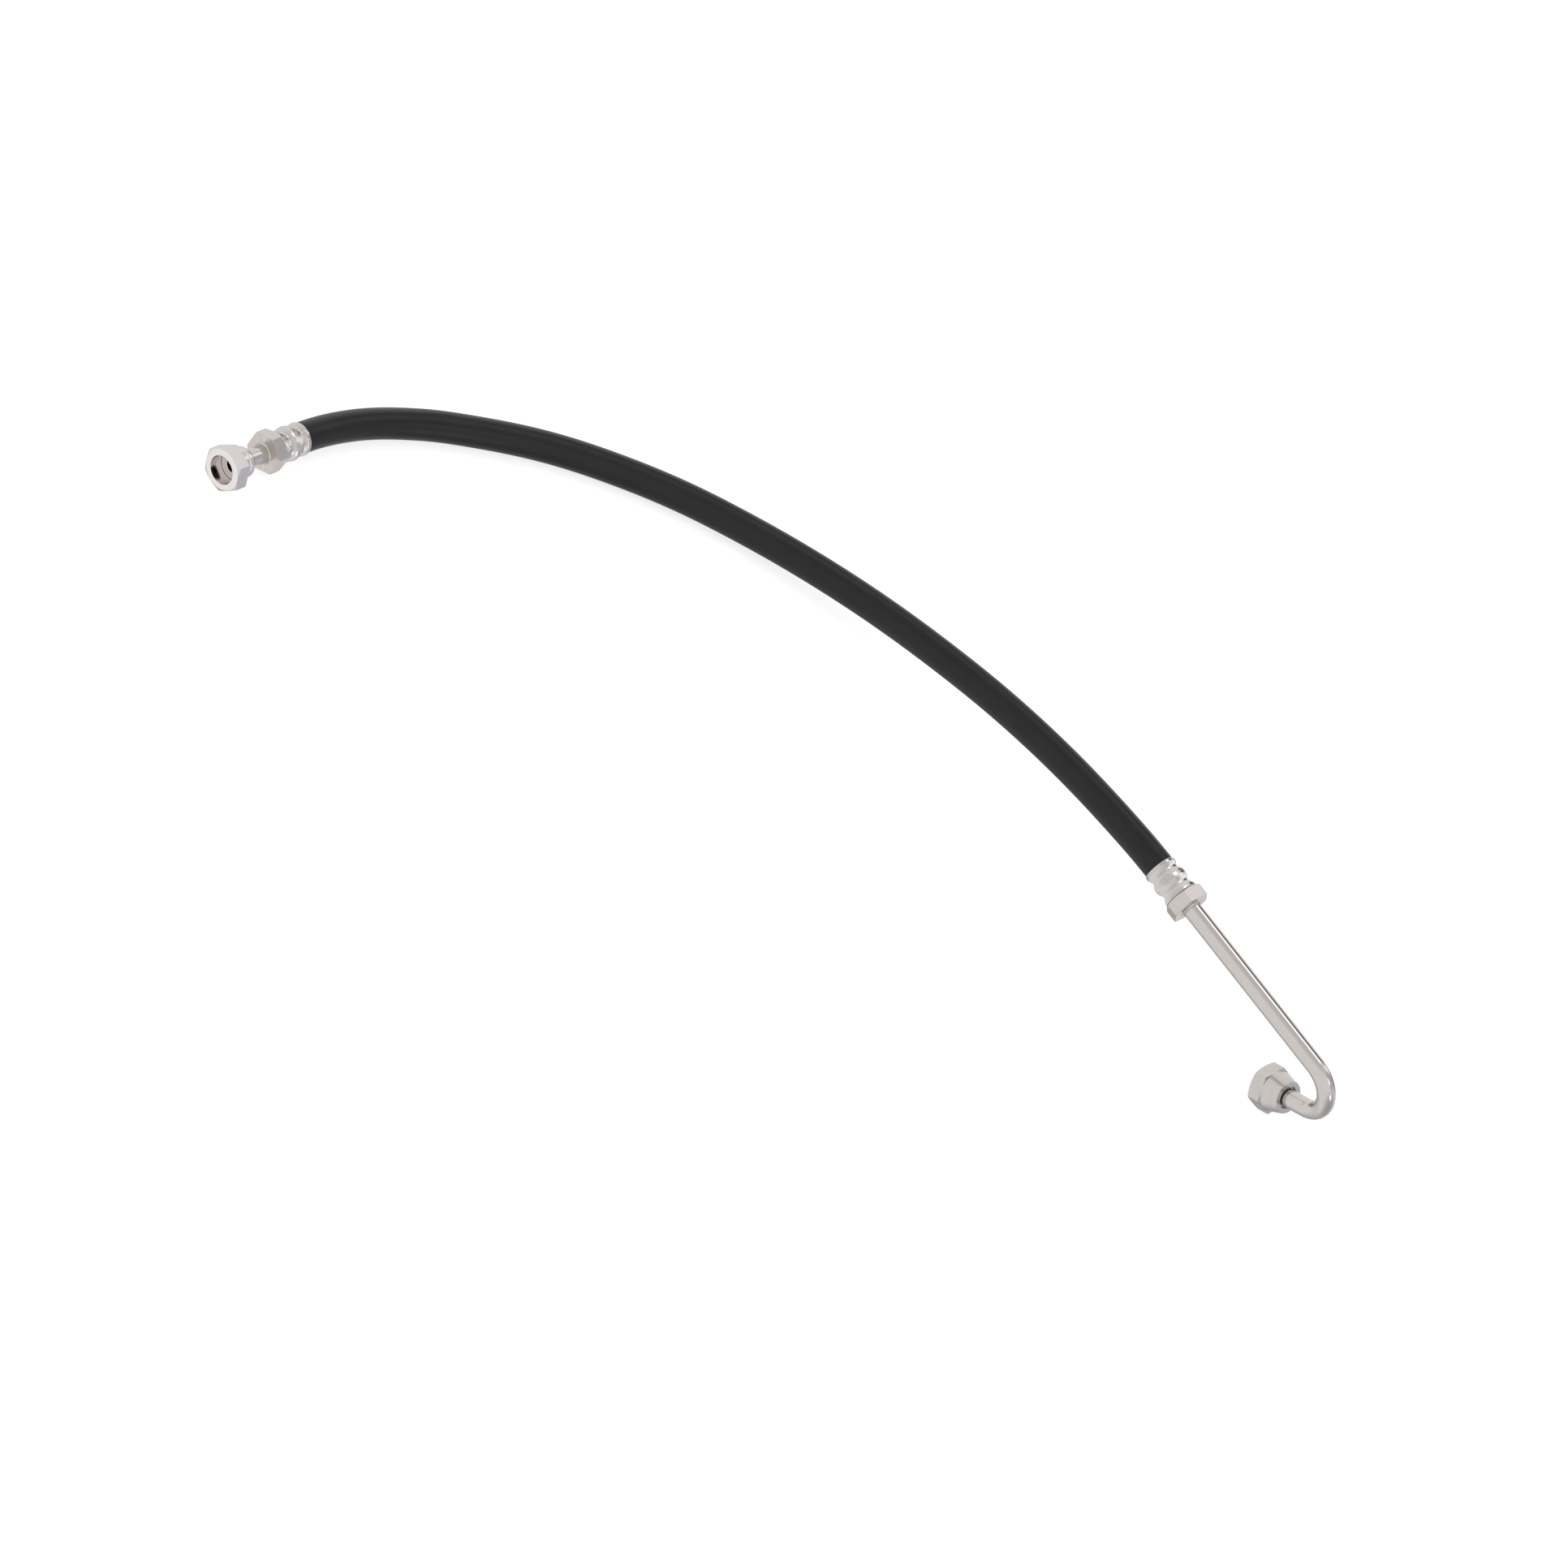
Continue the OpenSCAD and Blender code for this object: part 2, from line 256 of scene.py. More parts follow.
def hex_radius(angle, across_flats, turn):
    """Distance from the axis to a hexagon's surface, with its corners slightly rounded."""
    off = (math.degrees(angle) - turn) % 60 - 30
    flat = across_flats / 2
    sharp = flat / math.cos(math.radians(off))
    other = sharp * math.cos(math.radians(60 - abs(off)))
    close = max(0, CORNER_ROUNDING - (flat - other)) / CORNER_ROUNDING
    return sharp * flat / (flat + close * close * CORNER_ROUNDING / 4)


def hex_edge(angle, across_flats, turn, chamfer, face_z, inward, least=EDGE_BREAK):
    """Corners of the outline where a hexagon's flat meets its turned-off end face.

    inward is -1 where the face looks along +Z, and +1 where it looks along -Z.
    They run from the flat to the face."""
    flat_r = hex_radius(angle, across_flats, turn)
    corner_r = across_flats / 2 / math.cos(math.radians(30))
    face_r = min(corner_r - chamfer / CHAMFER_SLOPE, flat_r - least)
    depth = (flat_r - face_r) * CHAMFER_SLOPE
    return [(flat_r, face_z + inward * depth, 0.12), (face_r, face_z, 0.12)]


# ---------------------------------------------------------------- materials

class Nodes:
    """Short names for the few shader nodes that the materials and the sky are built from."""

    def __init__(self, owner):
        owner.use_nodes = True
        self.owner = owner
        self.tree = owner.node_tree

    def add(self, kind, **inputs):
        node = self.tree.nodes.new(kind)
        for key, value in inputs.items():
            self.set(node, key.replace("_", " "), value)
        return node

    def set(self, node, socket, value):
        """Links another node's output to a socket, or sets the socket to a value."""
        target = node.inputs[socket]
        if isinstance(value, bpy.types.NodeSocket):
            self.tree.links.new(value, target)
        elif target.type == "RGBA":
            target.default_value = (*value, 1)
        else:
            target.default_value = value

    def local(self):
        """The point in its fitting's own frame, in millimetres."""
        node = self.add("ShaderNodeAttribute")
        node.attribute_name = "local"
        return node.outputs["Vector"]

    def number(self, operation, *values):
        node = self.add("ShaderNodeMath")
        node.operation = operation
        for i, value in enumerate(values):
            self.set(node, i, value)
        return node.outputs["Value"]

    def vector(self, operation, *values):
        node = self.add("ShaderNodeVectorMath")
        node.operation = operation
        for i, value in enumerate(values):
            self.set(node, i, value)
        return node

    def lathe_point(self):
        """Distance from the axis and distance along it, so a texture runs in turned rings."""
        split = self.add("ShaderNodeSeparateXYZ", Vector=self.local())
        x, y, z = split.outputs
        r = self.number("SQRT", self.number("ADD", self.number("MULTIPLY", x, x),
                                            self.number("MULTIPLY", y, y)))
        return self.add("ShaderNodeCombineXYZ", X=r, Y=z).outputs[0]

    def noise(self, vector, scale, detail=3.0, roughness=0.5):
        node = self.add("ShaderNodeTexNoise", Vector=vector, Scale=scale, Detail=detail,
                        Roughness=roughness)
        return node.outputs["Fac"]

    def between(self, factor, low, high, to_low, to_high):
        node = self.add("ShaderNodeMapRange", Value=factor)
        self.set(node, "From Min", low)
        self.set(node, "From Max", high)
        self.set(node, "To Min", to_low)
        self.set(node, "To Max", to_high)
        return node.outputs["Result"]

    def mix(self, factor, a, b):
        node = self.add("ShaderNodeMix")
        node.data_type = "RGBA"
        for socket, value in zip((0, 6, 7), (factor, a, b)):
            self.set(node, socket, value)
        return node.outputs[2]

    def bump(self, height, distance, strength=1.0, normal=None):
        node = self.add("ShaderNodeBump", Height=height, Distance=distance, Strength=strength)
        if normal:
            self.set(node, "Normal", normal)
        return node.outputs["Normal"]

    def finish(self, **inputs):
        """Sets the surface's inputs and gives back the material."""
        for key, value in inputs.items():
            self.set(self.tree.nodes["Principled BSDF"], key.replace("_", " "), value)
        return self.owner


def material_nodes(name):
    return Nodes(bpy.data.materials.new(name))


def plated_steel(name, color, shade, roughness, ring_depth, ring_scale=2.5, painted_light_from=None):
    """Zinc-plated steel: cloudy plating, fine turned rings, and edges rubbed a little brighter.

    The plating's cloud runs from color to shade. ring_depth is in millimetres. A nut's mouth
    and its end face, beyond painted_light_from along the fitting, are painted lighter: a
    painted highlight on the face, and painted light in the mouth against the shade of the bore."""
    n = material_nodes(name)
    point = n.local()
    cloud = n.noise(point, 0.22, detail=4, roughness=0.6)
    rings = n.noise(n.lathe_point(), ring_scale, detail=2)
    grain = n.noise(point, 9, detail=2)
    plating = n.mix(n.between(cloud, 0.35, 0.65, 0, 1), color, shade)
    edge = n.add("ShaderNodeNewGeometry").outputs["Pointiness"]
    wear_and_painted_light = n.between(edge, 0.52, 0.60, 0, 0.4)
    bright = tuple(min(1, c * 1.2) for c in color)
    # Painted light: a nut's end face gets a painted highlight, and its mouth painted light
    # against the bore's shade
    if painted_light_from:
        r, z, _ = n.add("ShaderNodeSeparateXYZ", Vector=n.lathe_point()).outputs
        wear_and_painted_light = n.number("MAXIMUM", wear_and_painted_light, n.between(z, painted_light_from, painted_light_from + 0.2, 0, 1))
        wear_and_painted_light = n.number("MAXIMUM", wear_and_painted_light, n.between(r, THREAD_R + 0.1, THREAD_R + 0.6, 1, 0))
    rough = n.number("ADD", n.between(rings, 0.3, 0.7, roughness - 0.04, roughness + 0.05),
                   n.between(cloud, 0.3, 0.7, -0.03, 0.04))
    relief = n.bump(rings, ring_depth * MM)
    return n.finish(Base_Color=n.mix(wear_and_painted_light, plating, bright), Metallic=1.0,
                    Roughness=n.number("SUBTRACT", rough, n.number("MULTIPLY", wear_and_painted_light, 0.05)),
                    Normal=n.bump(grain, 0.0003 * MM, normal=relief))


def cover_rubber():
    """Satin black hose cover: faint wrap marks, a fine pebble and a little bloom."""
    n = material_nodes("cover_rubber")
    point = n.local()
    cloud = n.noise(point, 0.05, detail=4, roughness=0.6)
    pebble = n.noise(point, 2.2, detail=4, roughness=0.6)
    draw = n.noise(n.vector("MULTIPLY", point, (1, 1, 0.04)).outputs["Vector"], 1.1)
    color = n.mix(n.between(cloud, 0.3, 0.7, 0, 1), (0.0044, 0.0042, 0.0038),
                  (0.0070, 0.0067, 0.0062))
    rough = n.number("ADD", n.between(pebble, 0.3, 0.7, 0.33, 0.41),
                     n.between(draw, 0.3, 0.7, -0.04, 0.04))
    relief = n.bump(draw, 0.05 * MM, strength=0.5)
    return n.finish(Base_Color=color, Roughness=rough, Specular_IOR_Level=0.32,
                    Normal=n.bump(pebble, 0.03 * MM, strength=0.6, normal=relief))


def liner_rubber():
    n = material_nodes("liner_rubber")
    pebble = n.noise(n.add("ShaderNodeTexCoord").outputs["Object"], 900)
    return n.finish(Base_Color=n.mix(pebble, (0.012, 0.012, 0.012), (0.03, 0.03, 0.03)),
                    Roughness=0.6, Normal=n.bump(pebble, 0.02 * MM))


def braid_wire():
    n = material_nodes("braid_wire")
    wave = n.add("ShaderNodeTexWave", Vector=n.add("ShaderNodeTexCoord").outputs["Object"],
                 Scale=900.0, Distortion=2.0)
    wire = wave.outputs["Fac"]
    return n.finish(Base_Color=n.mix(wire, (0.35, 0.30, 0.20), (0.62, 0.56, 0.42)),
                    Metallic=1.0, Roughness=0.35, Normal=n.bump(wire, 0.1 * MM))


ferrule_steel = plated_steel(
    "ferrule_steel", (0.58, 0.55, 0.53), (0.535, 0.51, 0.49),
    roughness=0.14, ring_depth=0.0008)
stem_steel = plated_steel(
    "stem_steel", (0.61, 0.56, 0.54), (0.58, 0.54, 0.515),
    roughness=0.22, ring_depth=0.002)
tube_steel = plated_steel(
    "tube_steel", (0.61, 0.57, 0.55), (0.59, 0.555, 0.53),
    roughness=0.14, ring_depth=0.001, ring_scale=1.2)
# The inlet nut's end face and mouth get painted light
inlet_nut_steel = plated_steel(
    "inlet_nut_steel", (0.67, 0.635, 0.625), (0.64, 0.605, 0.595),
    roughness=0.2, ring_depth=0.002, painted_light_from=INLET_MOUTH - 0.5)
outlet_nut_steel = plated_steel(
    "outlet_nut_steel", (0.59, 0.56, 0.535), (0.56, 0.53, 0.51),
    roughness=0.2, ring_depth=0.002)
sleeve_steel = plated_steel(
    "sleeve_steel", (0.70, 0.68, 0.65), (0.62, 0.60, 0.58),
    roughness=0.30, ring_depth=0.01)
braze_metal = plated_steel(
    "braze_metal", (0.68, 0.65, 0.60), (0.60, 0.56, 0.50),
    roughness=0.32, ring_depth=0.02)
spring_wire = plated_steel(
    "spring_wire", (0.60, 0.59, 0.57), (0.50, 0.49, 0.48),
    roughness=0.30, ring_depth=0.01)


# ---------------------------------------------------------------- hose

def route_heading(i):
    """Direction of the hose at route point i: the fittings' own at the ends."""
    if i == 0:
        return -inlet_axis
    if i == len(ROUTE) - 1:
        return outlet_axis
    before, after = ROUTE[i] - ROUTE[i - 1], ROUTE[i + 1] - ROUTE[i]
    return (before.normalized() + after.normalized()).normalized()


def hose_line(steps_per_span):
    """Points and directions along one smooth curve through the route."""
    line = []
    for i in range(len(ROUTE) - 1):
        a, b = ROUTE[i], ROUTE[i + 1]
        reach = (b - a).length / 3
        hold_a, hold_b = a + reach * route_heading(i), b - reach * route_heading(i + 1)
        for k in range(steps_per_span + (i == len(ROUTE) - 2)):
            t = k / steps_per_span
            u = 1 - t
            point = u**3 * a + 3 * u * u * t * hold_a + 3 * u * t * t * hold_b + t**3 * b
            point.z = max(point.z, ROUTE_LOWEST)
            along = u * u * (hold_a - a) + 2 * u * t * (hold_b - hold_a) + t * t * (b - hold_b)
            line.append((point, along.normalized()))
    return line


HOSE_SIDES, STEPS_PER_SPAN, BORE_STEP = 48, 12, 4
HOSE_END_BEVEL = 0.35 * MM


def make_hose():
    radius = HOSE_D / 2
    line = hose_line(STEPS_PER_SPAN)
    distance = 0.0
    rings = []
    previous = line[0][0]
    for point, along in line:
        distance += (point - previous).length
        previous = point
        rings.append((point, along, distance))
    stack = [(rings[0], radius - HOSE_END_BEVEL)]
    stack += [(ring, radius) for ring in rings]
    stack += [(rings[-1], radius - HOSE_END_BEVEL)]
    stack += [(ring, COVER_BORE * MM) for ring in reversed(rings[::BORE_STEP])]
    points, local = [], []
    for (point, along, z), r in stack:
        side = Vector((0, 0, 1)).cross(along).normalized()
        up = along.cross(side)
        for a in even_angles(HOSE_SIDES):
            points.append(point + r * (math.cos(a) * side + math.sin(a) * up))
            local.append(Vector((r * math.cos(a), r * math.sin(a), z)) / MM)
    faces = wrapped_faces(len(stack), HOSE_SIDES)
    hose = add_piece("hose_cover_skin", points, faces, cover_rubber(), "hose_and_tubes",
                     local)
    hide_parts("hose_cover")


make_hose()


# ---------------------------------------------------------------- crimped ferrules

FERRULE_SIDES = 120
RIM_R, RIM_WIDTH = 10.7, 2.2
RIDGE_R, GROOVE_R = 11.2, 9.3
# Above 1, the grooves are narrower than the ridges between them
GROOVE_NARROWING = 1.5
CRIMP_START, CRIMP_PITCH, CRIMP_RINGS = 3.0, 11, 48
# Reaches a little past the CAD ferrule, so only a hairline is left before the hexagon
FERRULE_END, FERRULE_END_BREAK = 22.4, 0.2
LIP_R, LIP_BACK = 6.05, 20
JAWS, JAW_MARK = 8, 0.01


def crimp_radius(z, angle):
    """Outside of a ferrule: two rolled grooves, and the faint flats that the jaws left."""
    turn = 2 * math.pi * (z - FERRULE_LENGTH / 2) / CRIMP_PITCH
    pressed = ((1 - math.cos(turn)) / 2) ** GROOVE_NARROWING
    return RIDGE_R - (RIDGE_R - GROOVE_R - JAW_MARK * math.cos(JAWS * angle)) * pressed


def make_ferrule(name, place):
    step = (FERRULE_LENGTH - CRIMP_START) / CRIMP_RINGS

    def outline(angle):
        crimp = []
        for k in range(CRIMP_RINGS + 1):
            z = CRIMP_START + k * step
            crimp.append((crimp_radius(z, angle), z, 0))
        return rounded([
            (COVER_BORE, 0, 0.1), (RIM_R, 0, 0.5), (RIM_R, RIM_WIDTH, 0.5), *crimp,
            (crimp[-1][0] - FERRULE_END_BREAK, FERRULE_END, 0.3), (LIP_R, FERRULE_END, 0.1),
            (LIP_R, LIP_BACK, 0.1), (COVER_BORE, LIP_BACK, 0.1)])

    piece = turned(name + "_crimped", outline, even_angles(FERRULE_SIDES), place,
                   ferrule_steel, "hose_and_tubes")
    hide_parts(name)


# ---------------------------------------------------------------- stems and braze

INLET_STEM_TURN, OUTLET_STEM_TURN = 8, 32
BARB_START, BARB_PITCH, BARBS = 3.0, 3.5, 4
BARB_DEPTH, BARB_LAND = 0.4, 0.2
TAIL_R, TAIL_START = 4.75, 1.5
SHOULDER_R, SHOULDER_START, SHOULDER_END = 7.2, 18.65, 19.95
COLLAR_R, COLLAR_END = 6.0, 22.05
NECK_R = 8.6
STEM_BACK_CHAMFER, STEM_FRONT_CHAMFER, STEM_FRONT_BREAK = 1.6, 0.4, 0.1


def make_stem(name, place, turn):
    barbs = []
    for k in range(BARBS):
        z = BARB_START + BARB_PITCH * k
        barbs += [(TAIL_R, z + BARB_LAND, 0.05), (TAIL_R - BARB_DEPTH, z + 2 * BARB_LAND, 0.05),
                  (TAIL_R, z + BARB_PITCH - BARB_LAND, 0.05)]

    def outline(angle):
        back = hex_edge(angle, STEM_AF, turn, STEM_BACK_CHAMFER, HEX_START, 1)
        front = hex_edge(angle, STEM_AF, turn, STEM_FRONT_CHAMFER, HEX_END, -1,
                         least=STEM_FRONT_BREAK)
        return rounded([
            (STEM_BORE_R, TAIL_START, 0.2), (TAIL_R - 0.5, TAIL_START, 0.2), *barbs,
            (TAIL_R, SHOULDER_START, 0.1), (SHOULDER_R, SHOULDER_START, 0.2),
            (SHOULDER_R, SHOULDER_END, 0.2), (COLLAR_R, SHOULDER_END, 0.1),
            (COLLAR_R, COLLAR_END, 0.1), (NECK_R, COLLAR_END, 0.1), (NECK_R, HEX_START, 0.1),
            *reversed(back), *front, (TUBE_R, HEX_END, 0.05), (TUBE_R, SOCKET_FLOOR, 0.1),
            (STEM_BORE_R, SOCKET_FLOOR, 0.2)])

    piece = turned(name + "_forging", outline, hex_angles(turn), place, stem_steel,
                   "hose_and_tubes")
    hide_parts(name)


BRAZE_SIZE, BRAZE_STEPS = 1.0, 6


def make_braze_ring(name, place):
    outline = [(TUBE_R, HEX_END)]
    for k in range(BRAZE_STEPS + 1):
        t = math.pi / 2 * k / BRAZE_STEPS
        outline.append((TUBE_R + BRAZE_SIZE * (1 - math.sin(t)),
                        HEX_END + BRAZE_SIZE * (1 - math.cos(t))))
    piece = turned(name + "_fillet", lambda angle: outline, even_angles(), place, braze_metal,
                   "hose_and_tubes")
    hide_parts(name)


# ---------------------------------------------------------------- inlet nipple and nut

FLANGE_R, FLANGE_LENGTH = 9.2, 2.5
TAIL_HOLE_R = 6.06
INLET_SHOULDER = 55.0
NUT_TAIL_R = 10.1
# The nut's rolled tail and the groove round it: radius, distance from the tail's end, fillet
NUT_TAIL = [
    (8.2, 0, 0.4), (9.4, 0.7, 0.8), (NUT_TAIL_R, 2.2, 0.8), (NUT_TAIL_R, 4.4, 0.2),
    (9.6, 4.9, 0.2), (9.6, 6.0, 0.2), (NUT_TAIL_R, 6.5, 0.2),
]
SEAT_RELIEF = 0.2
INLET_NUT_TURN, INLET_BACK_CHAMFER, INLET_FRONT_CHAMFER = 30, 0.6, 1.6


def make_nipple():
    outline = rounded([
        (BORE_R, SOCKET_FLOOR, 0.1), (TUBE_R, SOCKET_FLOOR, 0.1),
        (TUBE_R, SEAT_Z - FLANGE_LENGTH, 0.3), (FLANGE_R, SEAT_Z - FLANGE_LENGTH, 0.2),
        (FLANGE_R, SEAT_Z, 0.3), (BORE_R, SEAT_Z, 0.5)])
    piece = turned("inlet_nipple_tube", lambda angle: outline, even_angles(), AT_INLET,
                   tube_steel, "hose_and_tubes")
    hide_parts("inlet_nipple")


def make_inlet_nut():
    tail = [(r, INLET_TAIL + z, fillet) for r, z, fillet in NUT_TAIL]
    relief_r = THREAD_R + SEAT_RELIEF

    def outline(angle):
        back = hex_edge(angle, NUT_AF, INLET_NUT_TURN, INLET_BACK_CHAMFER, INLET_HEX_BACK, 1)
        front = hex_edge(angle, NUT_AF, INLET_NUT_TURN, INLET_FRONT_CHAMFER, INLET_MOUTH, -1)
        return rounded([
            (TAIL_HOLE_R, INLET_TAIL, 0.2), *tail, (NUT_TAIL_R, INLET_HEX_BACK, 0.3),
            *reversed(back), *front, (THREAD_R, INLET_MOUTH, 0.3), (THREAD_R, SEAT_Z, 0.1),
            (relief_r, SEAT_Z, 0.1), (relief_r, INLET_SHOULDER, 0.1),
            (TAIL_HOLE_R, INLET_SHOULDER, 0.2)])

    piece = turned("inlet_nut_machined", outline, hex_angles(INLET_NUT_TURN), AT_INLET,
                   inlet_nut_steel, "inlet_swivel")
    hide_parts("inlet_nut")


# ---------------------------------------------------------------- outlet tube, sleeve and nut

RUNNING_GAP = 0.06
TUBE_SIDES = 64
BEND_THINNING = 0.03
FLARE_LENGTH = (FLARE_R - TUBE_R) / math.tan(FLARE_ANGLE)
FLARE_THINNING = 1.02
# The last ring of the plain tube, this far before the flare, keeps the corner there crisp
FLARE_LEAD = 0.6
SLEEVE_TAIL_R, SLEEVE_HEAD_R = 7.14, 8.9
SLEEVE_START, SLEEVE_HEAD_START = OUTLET_BACK + 2, OUTLET_BACK + 6
SLEEVE_END = SHORT_LEG - 0.6
OUTLET_SHOULDER = 20.85
CONE_BACK_R = 10.5
OUTLET_RELIEF = 0.4
OUTLET_NUT_TURN, OUTLET_BACK_CHAMFER, OUTLET_FRONT_CHAMFER = 29, 0.2, 1.8


def tube_stations():
    """(frame, distance, outer radius, bore radius) along the bent tube, from socket to tip."""
    stations = []
    leg_steps, bend_steps, tip_steps = 16, 40, 8
    for k in range(leg_steps):
        z = SOCKET_FLOOR + (BEND_START - SOCKET_FLOOR) * k / leg_steps
        stations.append((AT_BEND @ Matrix.Translation((0, 0, z * MM)), z, TUBE_R, BORE_R))
    for k in range(bend_steps + 1):
        a = BEND_ANGLE * k / bend_steps
        centre = Vector((BEND_R * (1 - math.cos(a)), 0, BEND_START + BEND_R * math.sin(a)))
        frame_here = AT_BEND @ Matrix.Translation(centre * MM) @ Matrix.Rotation(a, 4, "Y")
        stations.append((frame_here, BEND_START + BEND_R * a, TUBE_R - BEND_THINNING, BORE_R))
    after_bend = BEND_START + BEND_R * BEND_ANGLE
    flare_start = SHORT_LEG - FLARE_LENGTH
    for z in (flare_start / 2, flare_start - FLARE_LEAD):
        stations.append((AT_SHORT_LEG @ Matrix.Translation((0, 0, z * MM)), after_bend + z,
                         TUBE_R, BORE_R))
    for k in range(tip_steps + 1):
        z = flare_start + FLARE_LENGTH * k / tip_steps
        spread = max(0, z - flare_start) * math.tan(FLARE_ANGLE)
        stations.append((AT_SHORT_LEG @ Matrix.Translation((0, 0, z * MM)), after_bend + z,
                         TUBE_R + spread, BORE_R + spread * FLARE_THINNING))
    return stations


def make_outlet_tube():
    stations = tube_stations()
    rings = [(here, distance, outer) for here, distance, outer, _ in stations]
    rings += [(here, distance, bore) for here, distance, _, bore in reversed(stations)]
    points, local = [], []
    for here, distance, r in rings:
        for a in even_angles(TUBE_SIDES):
            x, y = r * math.cos(a), r * math.sin(a)
            points.append(here @ (Vector((x, y, 0)) * MM))
            local.append(Vector((x, y, distance)))
    faces = wrapped_faces(len(rings), TUBE_SIDES)
    piece = add_piece("outlet_tube_bent", points, faces, tube_steel, "hose_and_tubes",
                      local)
    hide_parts("outlet_tube")


def make_sleeve():
    inner = TUBE_R + RUNNING_GAP
    cone_start = SHORT_LEG - FLARE_LENGTH
    cone_r = inner + (SLEEVE_END - cone_start) * math.tan(FLARE_ANGLE)
    outline = rounded([
        (inner, SLEEVE_START, 0.1), (SLEEVE_TAIL_R, SLEEVE_START, 0.3),
        (SLEEVE_TAIL_R, SLEEVE_HEAD_START, 0.1), (SLEEVE_HEAD_R, SLEEVE_HEAD_START, 0.3),
        (SLEEVE_HEAD_R, SLEEVE_END, 0.3), (cone_r, SLEEVE_END, 0.1), (inner, cone_start, 0.1)])
    piece = turned("outlet_sleeve_turned", lambda angle: outline, even_angles(), AT_SHORT_LEG,
                   sleeve_steel, "outlet_slider")
    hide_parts("outlet_sleeve")


def make_outlet_nut():
    hole_r, cone_r = SLEEVE_TAIL_R + RUNNING_GAP, NUT_AF / 2 - 0.1
    relief_r, relief_start = THREAD_R + OUTLET_RELIEF, OUTLET_MOUTH - THREAD_DEPTH

    def outline(angle):
        back = hex_edge(angle, NUT_AF, OUTLET_NUT_TURN, OUTLET_BACK_CHAMFER, OUTLET_HEX_BACK, 1,
                        least=0.05)
        front = hex_edge(angle, NUT_AF, OUTLET_NUT_TURN, OUTLET_FRONT_CHAMFER, OUTLET_MOUTH, -1)
        return rounded([
            (hole_r, OUTLET_BACK, 0.3), (CONE_BACK_R, OUTLET_BACK, 0.4),
            (cone_r, OUTLET_HEX_BACK, 0.1), *reversed(back), *front,
            (THREAD_R, OUTLET_MOUTH, 0.3), (THREAD_R, relief_start, 0.1),
            (relief_r, relief_start, 0.1), (relief_r, OUTLET_SHOULDER, 0.1),
            (hole_r, OUTLET_SHOULDER, 0.2)])

    piece = turned("outlet_nut_machined", outline, hex_angles(OUTLET_NUT_TURN), AT_SHORT_LEG,
                   outlet_nut_steel, "outlet_swivel")
    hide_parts("outlet_nut")


for end, place, turn in (("inlet", AT_INLET, INLET_STEM_TURN),
                         ("outlet", AT_OUTLET, OUTLET_STEM_TURN)):
    make_ferrule(end + "_ferrule", place)
    make_stem(end + "_stem", place, turn)
    make_braze_ring(end + "_braze_ring", place)
make_nipple()
make_inlet_nut()
make_outlet_tube()
make_sleeve()
make_outlet_nut()


# ---------------------------------------------------------------- hidden CAD nodes

def finish_node(node, material):
    """Gives a material to a CAD node that has no visual piece in its place."""
    obj = frame["nodes"][node]
    obj.data.materials.clear()
    obj.data.materials.append(material)


hidden_rubber, hidden_braid = liner_rubber(), braid_wire()
finish_node("hose_liner", hidden_rubber)
finish_node("hose_interlayer", hidden_rubber)
finish_node("hose_inner_braid", hidden_braid)
finish_node("hose_outer_braid", hidden_braid)
finish_node("inlet_lock_wire", spring_wire)


# ---------------------------------------------------------------- floor and light

FLOOR_REACH = 8.0
FLOOR_GLOW = 0.70
FLOOR_GAP = 0.0002


def make_floor():
    mesh = bpy.data.meshes.new("floor")
    r = FLOOR_REACH
    mesh.from_pydata([(-r, -r, 0), (r, -r, 0), (r, r, 0), (-r, r, 0)], [], [(0, 1, 2, 3)])
    n = material_nodes("floor_paper")
    fleck = n.noise(n.add("ShaderNodeTexCoord").outputs["Object"], 60)
    mesh.materials.append(n.finish(
        Base_Color=n.mix(fleck, (0.46, 0.46, 0.46), (0.50, 0.50, 0.50)), Roughness=0.9,
        Emission_Color=(1, 1, 1), Emission_Strength=FLOOR_GLOW))
    floor = bpy.data.objects.new("floor", mesh)
    floor.location.z = cad_box[0].z - FLOOR_GAP
    scene.collection.objects.link(floor)
    # The metal doesn't mirror the floor: the sky below the horizon stands in for it, with its
    # shade painted in
    floor.visible_glossy = False


FILL_FROM = Vector((-0.6, -0.2, 1.0)).normalized()
FILL_SPREAD = math.radians(70)
FILL_STRENGTH = 0.6


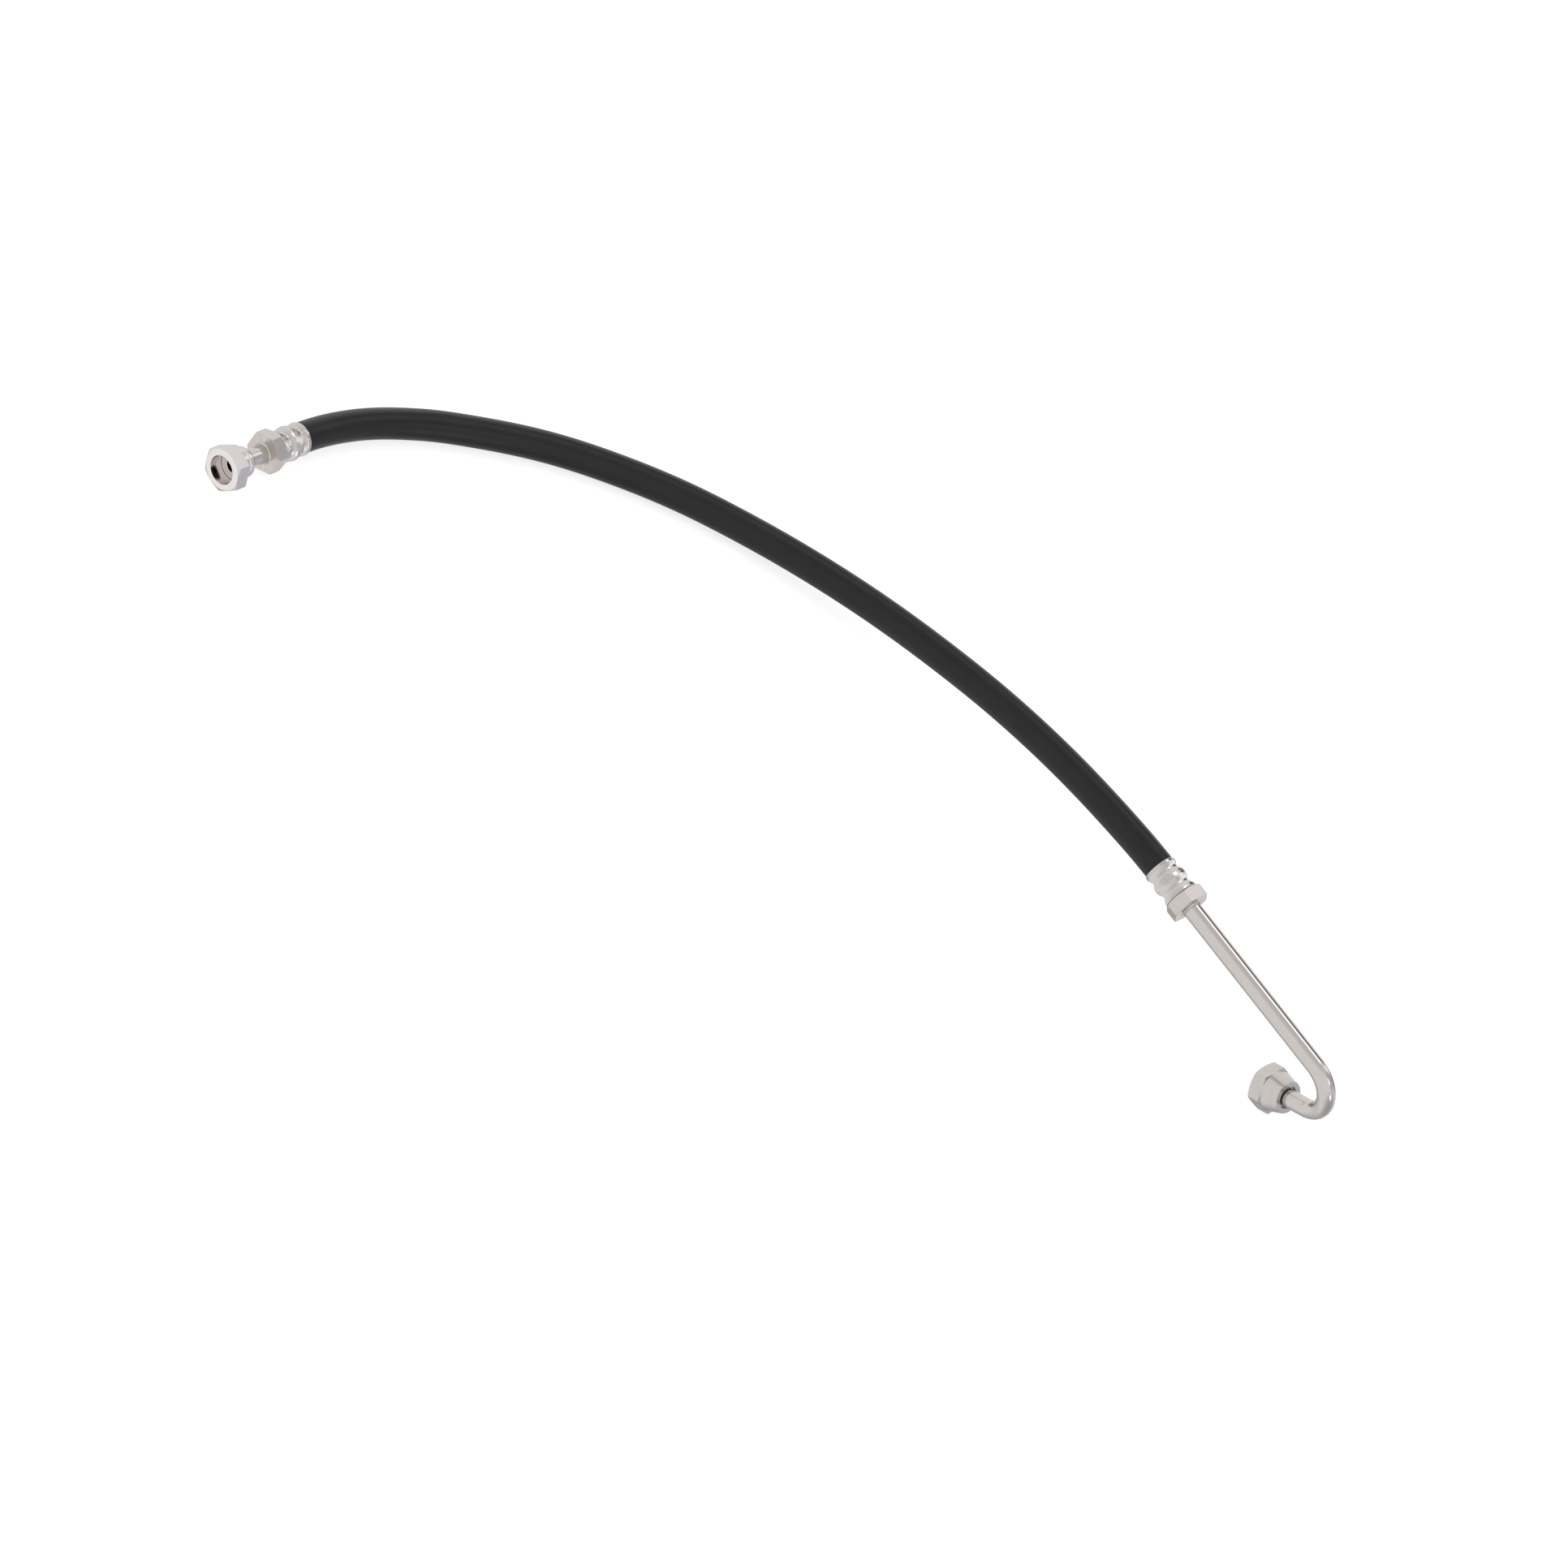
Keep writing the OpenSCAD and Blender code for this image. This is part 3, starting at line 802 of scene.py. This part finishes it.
def make_fill():
    """Very soft overhead light."""
    data = bpy.data.lights.new("fill", "SUN")
    data.angle = FILL_SPREAD
    data.energy = FILL_STRENGTH
    light = bpy.data.objects.new("fill", data)
    light.location = FILL_FROM
    light.rotation_mode = "QUATERNION"
    light.rotation_quaternion = FILL_FROM.to_track_quat("Z", "Y")
    light.visible_glossy = False
    scene.collection.objects.link(light)


# The studio as the metal mirrors it. Each patch has a direction, the two angles between which
# it fades out, and a colour. A later patch covers an earlier one
STUDIO = (1.0, 1.0, 1.0)
STUDIO_PATCHES = [
    # Grey cards overhead and towards the outlet end. Below the horizon the sky stands in for
    # the floor, which the metal doesn't mirror, with the floor's shade painted in
    ((-0.25, -0.05, 1.0), 5, 42, (0.74, 0.74, 0.75)),
    ((0.52, 0.60, 0.61), 14, 38, (0.58, 0.58, 0.62)),
    ((0.80, 0.60, -0.06), 12, 28, (0.82, 0.83, 0.95)),
    # Painted shadow: the floor's shade under the parts, as the metal would mirror it
    ((-0.05, 0.30, -0.95), 8, 50, (0.50, 0.50, 0.50)),
    # Painted shade: the floor beside the outlet end drawn darker, as the metal would mirror it
    ((0.85, 0.10, -0.45), 15, 50, (0.50, 0.50, 0.54)),
    # The floor behind the parts, as the metal would mirror it, a little grey
    ((0.33, 0.62, -0.70), 3, 12, (0.90, 0.88, 0.88)),
    # Dark cards on the side away from the camera
    ((-0.25, 0.84, 0.46), 8, 14, (0.06, 0.06, 0.06)),
    ((0.22, 0.97, -0.03), 6, 18, (0.20, 0.20, 0.20)),
    # Lamps
    ((-0.24, 0.48, 0.84), 3, 9, (2.6, 2.6, 2.6)),
    ((0.06, 0.66, 0.74), 4, 11, (1.4, 1.4, 1.4)),
    ((0.09, 0.78, 0.62), 3, 8, (1.5, 1.5, 1.5)),
    ((0.12, 0.90, 0.42), 3, 9, (1.5, 1.5, 1.5)),
    ((0.66, 0.25, 0.71), 5, 12, (1.8, 1.8, 1.8)),
    ((0.99, 0.08, 0.08), 4, 10, (2.2, 2.2, 2.2)),
]


def make_sky():
    n = Nodes(bpy.data.worlds.new("studio"))
    direction = n.add("ShaderNodeTexCoord").outputs["Generated"]
    color = STUDIO
    for centre, inner, outer, patch in STUDIO_PATCHES:
        dot = n.vector("DOT_PRODUCT", direction, Vector(centre).normalized())
        near = n.between(dot.outputs["Value"], math.cos(math.radians(outer)),
                         math.cos(math.radians(inner)), 0, 1)
        color = n.mix(near, color, patch)
    n.set(n.tree.nodes["Background"], "Color", color)
    scene.world = n.owner


make_floor()
make_sky()
make_fill()
scene.view_settings.view_transform = "Standard"
